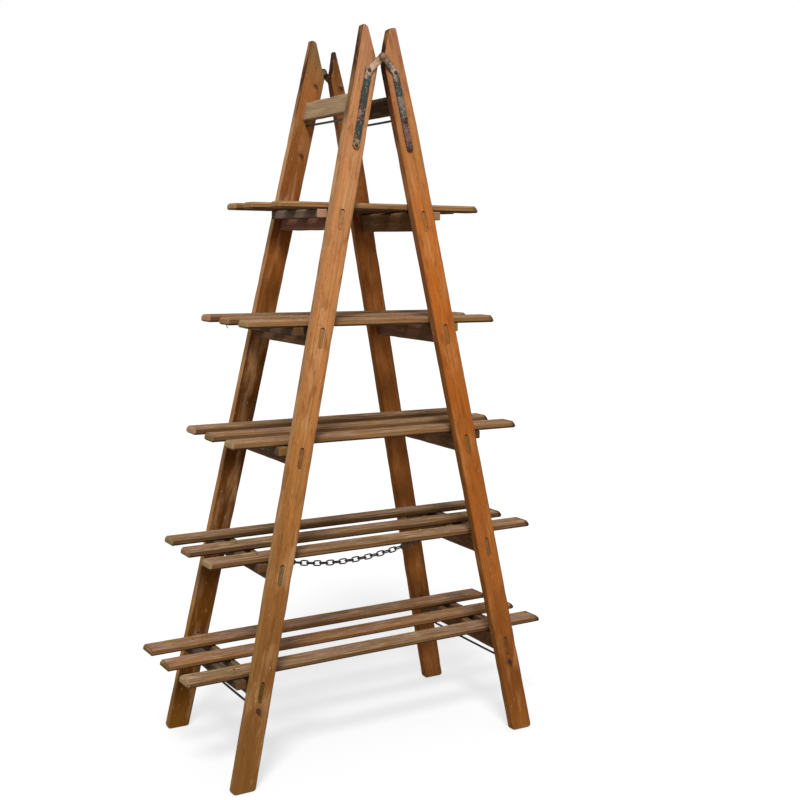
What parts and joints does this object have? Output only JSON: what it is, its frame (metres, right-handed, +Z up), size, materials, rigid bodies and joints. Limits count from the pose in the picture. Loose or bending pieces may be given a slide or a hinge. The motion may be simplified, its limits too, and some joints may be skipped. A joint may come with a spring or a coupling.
{
  "type": "plant ladder stand",
  "caption": "Two hinged wooden ladder frames that stand open as an A and carry slatted shelves across their rungs, with iron hinge straps, tie rods and a chain.",
  "frame": {"origin": "on the floor, midway between the four feet", "axes": "+X along the slats toward the right frame, +Y toward the far legs, +Z up"},
  "size_m": [1.095, 0.5064, 1.9113],
  "materials": {
    "leg_pine": "old pine with a warm orange-brown stain, satin",
    "rung_ash": "worn greyish-brown hardwood",
    "slat_oak": "weathered grey-brown sawn wood",
    "cleat_oak": "grey sawn wood",
    "strap_iron": "worn blue-grey paint over rust",
    "rusty_steel": "brown rust",
    "black_iron": "blackened"
  },
  "bodies": {
    "left_ladder": {"near_left_leg": "leg_pine", "far_left_leg": "leg_pine", "left_rung_1": "rung_ash", "left_rung_2": "rung_ash", "left_rung_3": "rung_ash", "left_rung_4": "rung_ash", "left_rung_5": "rung_ash", "left_rung_6": "rung_ash", "near_left_strap": "strap_iron", "far_left_strap": "strap_iron", "left_tie_rods": "black_iron", "left_strap_bolts": "rusty_steel", "left_chain_eye": "black_iron", "chain": "black_iron"},
    "right_ladder": {"near_right_leg": "leg_pine", "far_right_leg": "leg_pine", "right_rung_1": "rung_ash", "right_rung_2": "rung_ash", "right_rung_3": "rung_ash", "right_rung_4": "rung_ash", "right_rung_5": "rung_ash", "right_rung_6": "rung_ash", "near_right_strap": "strap_iron", "far_right_strap": "strap_iron", "right_tie_rods": "black_iron", "right_strap_bolts": "rusty_steel", "right_chain_eye": "black_iron"},
    "pivot_pins": {"near_pivot_pin": "rusty_steel", "far_pivot_pin": "rusty_steel"},
    "shelf_1": {"shelf_1_slat_1": "slat_oak", "shelf_1_slat_2": "slat_oak", "shelf_1_slat_3": "slat_oak", "shelf_1_left_cleat": "cleat_oak", "shelf_1_right_cleat": "cleat_oak", "shelf_1_nails": "black_iron"},
    "shelf_2": {"shelf_2_slat_1": "slat_oak", "shelf_2_slat_2": "slat_oak", "shelf_2_slat_3": "slat_oak", "shelf_2_left_cleat": "cleat_oak", "shelf_2_right_cleat": "cleat_oak", "shelf_2_nails": "black_iron"},
    "shelf_3": {"shelf_3_slat_1": "slat_oak", "shelf_3_slat_2": "slat_oak", "shelf_3_slat_3": "slat_oak", "shelf_3_left_cleat": "cleat_oak", "shelf_3_right_cleat": "cleat_oak", "shelf_3_nails": "black_iron"},
    "shelf_4": {"shelf_4_slat_1": "slat_oak", "shelf_4_slat_2": "slat_oak", "shelf_4_slat_3": "slat_oak", "shelf_4_left_cleat": "cleat_oak", "shelf_4_right_cleat": "cleat_oak", "shelf_4_nails": "black_iron"},
    "shelf_5": {"shelf_5_slat_1": "slat_oak", "shelf_5_slat_2": "slat_oak", "shelf_5_slat_3": "slat_oak", "shelf_5_left_cleat": "cleat_oak", "shelf_5_right_cleat": "cleat_oak", "shelf_5_nails": "black_iron"}
  },
  "joints": [
    {"name": "fold", "type": "hinge", "parent": "left_ladder", "child": "right_ladder", "pos_m": [0, 0, 1.83205], "axis": [0, 1, 0], "range_deg": [0, 24], "deforming": ["chain"]},
    {"name": "half_fold", "type": "hinge", "parent": "left_ladder", "child": "pivot_pins", "pos_m": [0, 0, 1.83205], "axis": [0, 1, 0], "range_deg": [0, 12]},
    {"name": "shelf_1_lift", "type": "slide", "parent": "pivot_pins", "child": "shelf_1", "axis": [0, 0, 1], "range_m": [0, 0.026]},
    {"name": "shelf_2_lift", "type": "slide", "parent": "pivot_pins", "child": "shelf_2", "axis": [0, 0, 1], "range_m": [0, 0.026]},
    {"name": "shelf_3_lift", "type": "slide", "parent": "pivot_pins", "child": "shelf_3", "axis": [0, 0, 1], "range_m": [0, 0.026]},
    {"name": "shelf_4_lift", "type": "slide", "parent": "pivot_pins", "child": "shelf_4", "axis": [0, 0, 1], "range_m": [0, 0.026]},
    {"name": "shelf_5_lift", "type": "slide", "parent": "pivot_pins", "child": "shelf_5", "axis": [0, 0, 1], "range_m": [0, 0.026]}
  ],
  "couplings": [
    {"joint": "half_fold", "follows": "fold", "ratio": 0.5}
  ]
}
